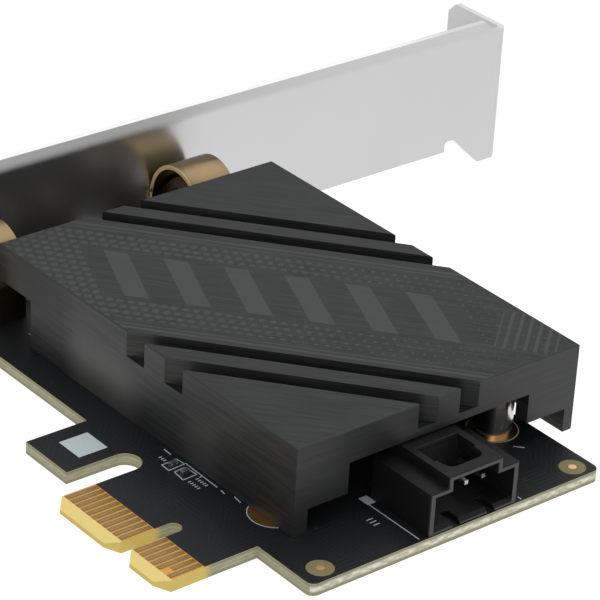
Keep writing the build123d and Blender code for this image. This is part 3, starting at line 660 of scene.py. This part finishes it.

# %% [markdown]
# ## Anodised aluminium
#
# Dye fills the pores of the oxide, and brushed lines take more or less of it, so the grain drives the
# colour, the roughness and the relief together. The lid's colour is darker than the walls': painted
# shade on the top of the block. The etched places are a little lighter. Faces that lean are chamfers or
# roundings, and get one even tone. The rear wall shows less grain than the others.

# %% Dye, grain, etching and painted light together
def anodised_finish():
    lid_z = 11.0
    finish = Finish("anodised", tone(74, 75, 77), Metallic=0.75, Roughness=0.42, Specular_IOR_Level=0.3)
    along, across = groove_axes(finish)
    top = finish.facing_z > 0.95
    leaning = (abs(finish.facing_z) > 0.3) & (abs(finish.facing_z) < 0.95)
    grain = brushed_grain(finish, top, along, across)
    etched = etched_design(finish, along, across) * top * (finish.z > lid_z)
    streaks = finish.step(grain, 0.36, 0.64)
    streaks = streaks + (finish.facing_x > 0.9) * (0.5 - streaks) * 0.6
    # painted shade: the lid is coloured darker than the walls, though one dye covers both
    lid_dye_painted_darker = finish.mix(streaks, tone(35, 36, 36), tone(49, 50, 50))
    wall_dye_and_sheen = painted_wall_bands(finish, finish.mix(streaks, tone(58, 59, 59), tone(70, 71, 70)))
    dye_and_painted_light = finish.mix(top, wall_dye_and_sheen, lid_dye_painted_darker)
    dye_and_painted_light = finish.mix(etched * 0.5, dye_and_painted_light, tone(76, 77, 77))
    dye_and_painted_light = finish.mix(leaning, dye_and_painted_light, tone(62, 63, 63))
    finish.feed(Base_Color=dye_and_painted_light, Roughness=0.36 + grain * 0.14 + leaning * 0.06 + etched * 0.04)
    finish.relief(grain, 0.012, 0.5)
    return finish.done()


anodised = anodised_finish()

# %% [markdown]
# ## Plastics, rubber and ceramic
#
# Moulded plastic is one colour with a fine grain from the mould, a touch lighter where it was rubbed. What
# changes from part to part is the colour, how coarse the grain is and how soft the shine, so one function
# makes them all. Printing ink and the bare board round the register marks are close enough to join them.

# %% Moulded parts
def moulded(name, colour, roughness, grain=3.0, depth=0.012, gloss=0.35):
    finish = Finish(name, colour, Roughness=roughness, Specular_IOR_Level=gloss)
    speckle = finish.noise(grain, detail=4)
    lighter = (*[min(1, v * 1.5 + 0.004) for v in colour[:3]], 1)
    finish.feed(Base_Color=finish.mix(speckle * 0.6, colour, lighter))
    finish.feed(Roughness=roughness + (speckle - 0.5) * 0.14)
    finish.relief(speckle, depth, 0.5)
    return finish.done()


socket_plastic = moulded("socket_plastic", tone(40, 40, 41), 0.55)
cable_jacket = moulded("cable_jacket", tone(52, 52, 54), 0.4, grain=1.2)
silicone = moulded("silicone", tone(150, 156, 164), 0.8, grain=0.8, depth=0.05, gloss=0.2)
ceramic = moulded("ceramic", tone(60, 57, 54), 0.6, grain=4.0)
print_ink = moulded("print_ink", tone(164, 174, 175), 0.7, grain=5.0, depth=0.01, gloss=0.2)
bare_board = moulded("bare_board", tone(112, 104, 72), 0.6, grain=2.0, depth=0.01, gloss=0.25)

# %% [markdown]
# ## The header's plastic
#
# The cable header is moulded in black nylon. The rim round its mouth is coloured grey. The rim is the
# foremost face that looks along X, so the header's own box gives the place, and the mask moves with it
# if the header is made longer.

# %% Black nylon with a grey rim
def header_finish():
    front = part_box("header")[1][0] / MM
    finish = Finish("header_plastic", tone(17, 17, 18), Roughness=0.5, Specular_IOR_Level=0.18)
    speckle = finish.noise(2.4, detail=4)
    rim = (finish.facing_x > 0.9) & (finish.x > front - 0.2)
    black = finish.mix(speckle, tone(12, 12, 13), tone(22, 22, 23))
    rim_grey = finish.mix(speckle, tone(62, 62, 63), tone(76, 76, 77))
    finish.feed(Base_Color=finish.mix(rim, black, rim_grey))
    finish.feed(Roughness=0.44 + speckle * 0.14)
    finish.relief(speckle, 0.014, 0.5)
    return finish.done()


header_plastic = header_finish()

# %% [markdown]
# ## Handing out the finishes
#
# The solids come with plain colours. A table says which finish each of them wears on the real card, and
# a loop puts it in the solid's first material slot. The last line names any solid that was forgotten.

# %% Each node gets its finish
dressed = {
    "pcb": board_lacquer, "contacts_top": finger_gold, "contacts_under": finger_gold, "screw_pads": pad_gold,
    "heatsink": anodised, "posts": post_nickel, "screws_front": screw_steel, "screws_rear": screw_steel,
    "module_board": module_lacquer, "module_shield": shield_steel, "heat_pad": silicone,
    "module_socket": socket_plastic, "socket_feet": tin, "module_spacer": brass, "module_screw": screw_steel,
    "bracket": plate_nickel, "bracket_screws": screw_steel, "jack_bodies": jack_gold,
    "jack_insulators": dielectric, "jack_pins": pin_gold, "jack_washers": jack_gold, "jack_nuts": jack_gold,
    "jack_frames": frame_gold, "module_receptacles": brass, "board_receptacles": brass,
    "module_plugs": plug_nickel, "board_plugs": plug_nickel, "jumper_upper": cable_jacket,
    "jumper_lower": cable_jacket, "header": header_plastic, "header_pins": tin,
    "chips": ceramic, "chip_ends": tin,
}
for name, material in dressed.items():
    nodes[name].data.materials.clear()
    nodes[name].data.materials.append(material)
print("nodes without a finish:", sorted(set(nodes) - set(dressed)))

# %% [markdown]
# ## Edges that catch the light
#
# A machined or moulded edge is never sharp: a tenth of a millimetre of rounding is enough to draw a thin
# bright line along it. The solids leave that out, so a Bevel modifier adds it on the pieces whose edges
# show. The faces are welded first, because a bevel needs the faces on both sides of an edge to share it.

# %% Fine rounding
rounded_by = {
    "heatsink": 0.07, "header": 0.12, "bracket": 0.1,
    "pcb": 0.04, "jack_nuts": 0.12, "jack_frames": 0.06,
}
for name, width in rounded_by.items():
    weld = nodes[name].modifiers.new("weld", "WELD")
    weld.merge_threshold = 0.001 * MM
    bevel = nodes[name].modifiers.new("rounding", "BEVEL")
    bevel.width = width * MM
    bevel.segments = 1
    bevel.limit_method = "ANGLE"
    bevel.angle_limit = math.radians(35)
    bevel.use_clamp_overlap = True
print("rounded pieces:", len(rounded_by))

# %% [markdown]
# ## Small added shapes
#
# The rest is too small for the solids: ink, solder and threads. Each is built as rings of points joined by
# faces. A prism has two rings, a solder cone a few, and a thread many, whose ridge lies a little further
# round on each. One helper joins rings, another turns a finished mesh into a piece that rides on the card.

# %% Rings of points
def skin(mesh, rings, closed_ends=True):
    made = [[mesh.verts.new(Vector(p) * MM) for p in ring] for ring in rings]
    count = len(made[0])
    for low, high in zip(made, made[1:]):
        for i in range(count):
            after = (i + 1) % count
            mesh.faces.new((low[i], low[after], high[after], high[i]))
    if closed_ends:
        mesh.faces.new(list(reversed(made[0])))
        mesh.faces.new(made[-1])


def circle(x, y, radius, z, sides=32):
    turns = [2 * math.pi * i / sides for i in range(sides)]
    return [(x + radius * math.cos(t), y + radius * math.sin(t), z) for t in turns]


def prism(mesh, outline, low, high):
    skin(mesh, [[(x, y, z) for x, y in outline] for z in (low, high)])


def hoop(mesh, x, y, inner, outer, low, high):
    sizes = ((inner, low), (outer, low), (outer, high), (inner, high), (inner, low))
    skin(mesh, [circle(x, y, radius, z) for radius, z in sizes], closed_ends=False)


print("ring helpers ready")

# %% A mesh becomes a piece
def as_object(name, mesh):
    bmesh.ops.recalc_face_normals(mesh, faces=mesh.faces)
    data = bpy.data.meshes.new(name)
    mesh.to_mesh(data)
    mesh.free()
    made = bpy.data.objects.new(name, data)
    bpy.context.collection.objects.link(made)
    return made


def piece(name, mesh, material, smooth=False):
    bmesh.ops.remove_doubles(mesh, verts=mesh.verts, dist=0.0001 * MM)
    made = as_object(name, mesh)
    made.data.materials.append(material)
    if smooth:
        made.data.shade_smooth()
    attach(made, "root")
    print("piece", name, "has", len(made.data.polygons), "faces")
    return made


# %% [markdown]
# ## Printed marks
#
# The white print is ink a few hundredths of a millimetre thick. It frames the fixing pads, marks the
# header's first contact, outlines the small chips and fills a square for a stamp. Beside the chips stand
# plain ticks, as a silkscreen has everywhere. Ink could be painted by a mask, but its edges are crisp and
# stand up a little, so it is geometry: a stroke is a thin prism from one point to the next.

# %% A stroke of ink
ink_low, ink_high, line_wide, tick_wide = 0.0, 0.02, 0.13, 0.14


def stroke(mesh, start, end, wide):
    start, end = Vector(start), Vector(end)
    run = (end - start).normalized()
    side = Vector((-run.y, run.x)) * wide / 2
    corners = [start - side, end - side, end + side, start + side]
    prism(mesh, [tuple(c) for c in corners], ink_low, ink_high)


print("ink is", ink_high - ink_low, "mm thick")

# %% Where the marks lie
stamp_square = [(-21.8, 7.6), (-17.8, 7.6), (-17.8, 11.6), (-21.8, 11.6)]
first_pin_mark = [(6.85, 28.5), (8.5, 28.5), (8.5, 29.7), (6.85, 29.7)]
pad_middles = ((3.85, 18.86), (3.84, 51.4))
pad_ring_inner, pad_ring_outer = 3.06, 3.18
tick_pitch, tick_long = 0.42, 0.42
tick_rows = ((-12.7, 15.1, 3), (-6.6, 14.7, 5), (-6.6, 15.8, 5))
strokes = [
    ((8.5, 28.67), (17.13, 28.67)), ((16.73, 43.75), (17.28, 43.75)), ((8.2, 50.8), (9.2, 51.7)),
    ((10.9, 27.2), (10.9, 26.3)), ((11.5, 27.2), (11.5, 26.3)), ((12.1, 27.2), (12.1, 26.3)),
    ((-13.9, 16.74), (-12.45, 16.64)), ((-10.05, 16.91), (-3.92, 16.77)),
    ((-6.74, 16.81), (-6.74, 16.4)), ((-3.17, 16.74), (-2.38, 16.62)), ((-1.24, 17.15), (0.09, 16.98)),
    ((-50.35, 18.8), (-50.35, 21.9)), ((-49.4, 18.92), (-48.8, 18.92)), ((-44.9, 19.2), (-44.2, 19.2)),
]
chip_outlines = (
    [(-11.23, 14.43), (-11.37, 16.6), (-9.97, 16.74), (-9.84, 14.42)],
    [(-9.23, 14.73), (-9.37, 16.29), (-7.41, 16.55), (-7.3, 14.52)],
)
for corners in chip_outlines:
    strokes += zip(corners, corners[1:] + corners[:1])
print("lines to print:", len(strokes))

# %% Ink on the component side
ink = bmesh.new()
for outline in (stamp_square, first_pin_mark):
    prism(ink, outline, ink_low, ink_high)
for x, y in pad_middles:
    hoop(ink, x, y, pad_ring_inner, pad_ring_outer, ink_low, ink_high)
for start, end in strokes:
    stroke(ink, start, end, line_wide)
for x, y, count in tick_rows:
    for i in range(count):
        tick_x = x + tick_pitch * i
        stroke(ink, (tick_x, y), (tick_x, y + tick_long), tick_wide)
piece("ink_top", ink, print_ink)

# %% [markdown]
# ## Register marks
#
# A placing machine finds the board by two copper dots, each in a round opening of the lacquer. They are
# flat discs of a few hundredths of a millimetre: the opening first, and the dot on top of it, so the two
# never share a face and flicker.

# %% Register dots
opening_r, opening_high, dot_r, dot_high = 1.6, 0.012, 0.5, 0.05
openings = bmesh.new()
dots = bmesh.new()
for x, y in ((15.36, 16.03), (15.47, 53.38)):
    skin(openings, [circle(x, y, opening_r, z) for z in (0.0, opening_high)])
    skin(dots, [circle(x, y, dot_r, z) for z in (opening_high, dot_high)])
piece("register_openings", openings, bare_board)
piece("register_dots", dots, dot_copper)

# %% [markdown]
# ## Corners of the card edge
#
# The corners of both tongues are cut off, so that the card finds its slot. The board's mesh is kept as it
# came, and a Boolean modifier takes a slanted block away at each corner. The blocks are one hidden mesh.
# The modifier stands before the rounding, because the new edges are rounded too.

# %% Corner cuts
cut_x, cut_y, clear = 1.45, 1.25, 1.0
block_low, block_high = -3.0, 1.0
slope = cut_y / cut_x
corner_blocks = bmesh.new()
for x, side in ((-12.15, 1), (-0.95, -1), (0.95, 1), (8.15, -1)):
    corners = [
        (x - side * clear, cut_y + clear * slope),
        (x - side * clear, -clear),
        (x + side * (cut_x + clear / slope), -clear),
    ]
    prism(corner_blocks, corners if side > 0 else corners[::-1], block_low, block_high)
cutter = as_object("corner_cutter", corner_blocks)
cutter.hide_render = True
cutter.hide_viewport = True
modifiers = nodes["pcb"].modifiers
corner_cuts = modifiers.new("corners", "BOOLEAN")
corner_cuts.operation = "DIFFERENCE"
corner_cuts.solver = "EXACT"
corner_cuts.object = cutter
modifiers.move(len(modifiers) - 1, 0)
print("modifiers on the board:", [m.name for m in modifiers])

# %% [markdown]
# ## Solder
#
# Where a pin passes the board, solder climbs it in a hollow cone. A short table of radii and heights
# gives that curve, and the same cone is set under the board at each of the header's pins. A lower and
# wider one closes each jack's pin. On top only the feet of the header's pins have one, turned over.

# %% Solder cones
board_under = -1.57
jack_rows = (51.2, 18.2)
cone = ((0.95, 0.0), (0.78, 0.1), (0.52, 0.28), (0.38, 0.55), (0.3, 0.85))
feet_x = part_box("header_pins")[0][0] / MM + 0.25
header_middle, pin_pitch, pin_count = 36.27, 2.54, 4
jack_pin_x = -55.5
solder = bmesh.new()
for i in range(pin_count):
    y = header_middle + (i - (pin_count - 1) / 2) * pin_pitch
    skin(solder, [circle(feet_x, y, r, board_under - h, 24) for r, h in cone])
    skin(solder, [circle(feet_x, y, r * 0.9, h * 0.6, 24) for r, h in cone])
for y in jack_rows:
    skin(solder, [circle(jack_pin_x, y, r * 1.5, board_under - h * 0.6) for r, h in cone])
piece("solder", solder, tin, smooth=True)

# %% [markdown]
# ## Threaded barrels
#
# The jacks' solids are plain where the thread runs. Here each is made again with its thread: a ring of
# points is set every eighth of a turn of the screw, and the radius of each point depends on how far
# round and how far along it lies, which winds one continuous ridge. A flat is filed along the
# top as on the real part, by holding every point below one height.

# %% Rings of a thread
thread_r, thread_pitch, thread_deep, flat_at, sides = 3.175, 0.706, 0.3, 2.75, 48


def thread_radius(x, turn):
    place = (x / thread_pitch - turn / (2 * math.pi)) % 1.0
    return thread_r - thread_deep * (1 - abs(2 * place - 1))


def jack_ring(x, y, z, radius):
    ring = []
    for i in range(sides):
        turn = 2 * math.pi * i / sides
        r = radius(x, turn) if callable(radius) else radius
        ring.append((x, y + r * math.sin(turn), z + min(r * math.cos(turn), flat_at)))
    return ring


print("thread pitch", thread_pitch, "mm")

# %% Jacks
tip, rear = (corner[0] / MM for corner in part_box("jack_bodies"))
nut_low, nut_high = (corner[0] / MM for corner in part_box("jack_nuts"))
plate_inner = rear - 1.5
bore_r, bore_floor, neck_r, neck_bore = 2.3, tip + 7.6, 2.2, 1.6
tip_r, lead_r, rim_r, under_nut_r = 2.62, 2.86, 2.42, 3.02
jack_z = 5.0

thread_from, thread_to = tip + 0.55, nut_low - 0.05
steps = round((thread_to - thread_from) / (thread_pitch / 8))
thread_x = [thread_from + (thread_to - thread_from) * i / steps for i in range(steps + 1)]
profile = [(tip, tip_r), (tip + 0.5, lead_r)] + [(x, thread_radius) for x in thread_x]
profile += [(nut_low - 0.02, under_nut_r), (nut_high, under_nut_r), (nut_high, thread_r)]
profile += [(plate_inner, thread_r), (plate_inner, neck_r), (rear, neck_r), (rear, neck_bore)]
profile += [(bore_floor, neck_bore), (bore_floor, bore_r), (tip + 0.12, bore_r), (tip, rim_r)]
jacks = bmesh.new()
for y in jack_rows:
    rings = [jack_ring(x, y, jack_z, r) for x, r in profile]
    skin(jacks, rings + rings[:1], closed_ends=False)
barrels = piece("threaded_jacks", jacks, jack_gold)
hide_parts("jack_bodies")
print("thread rings per jack:", len(thread_x))
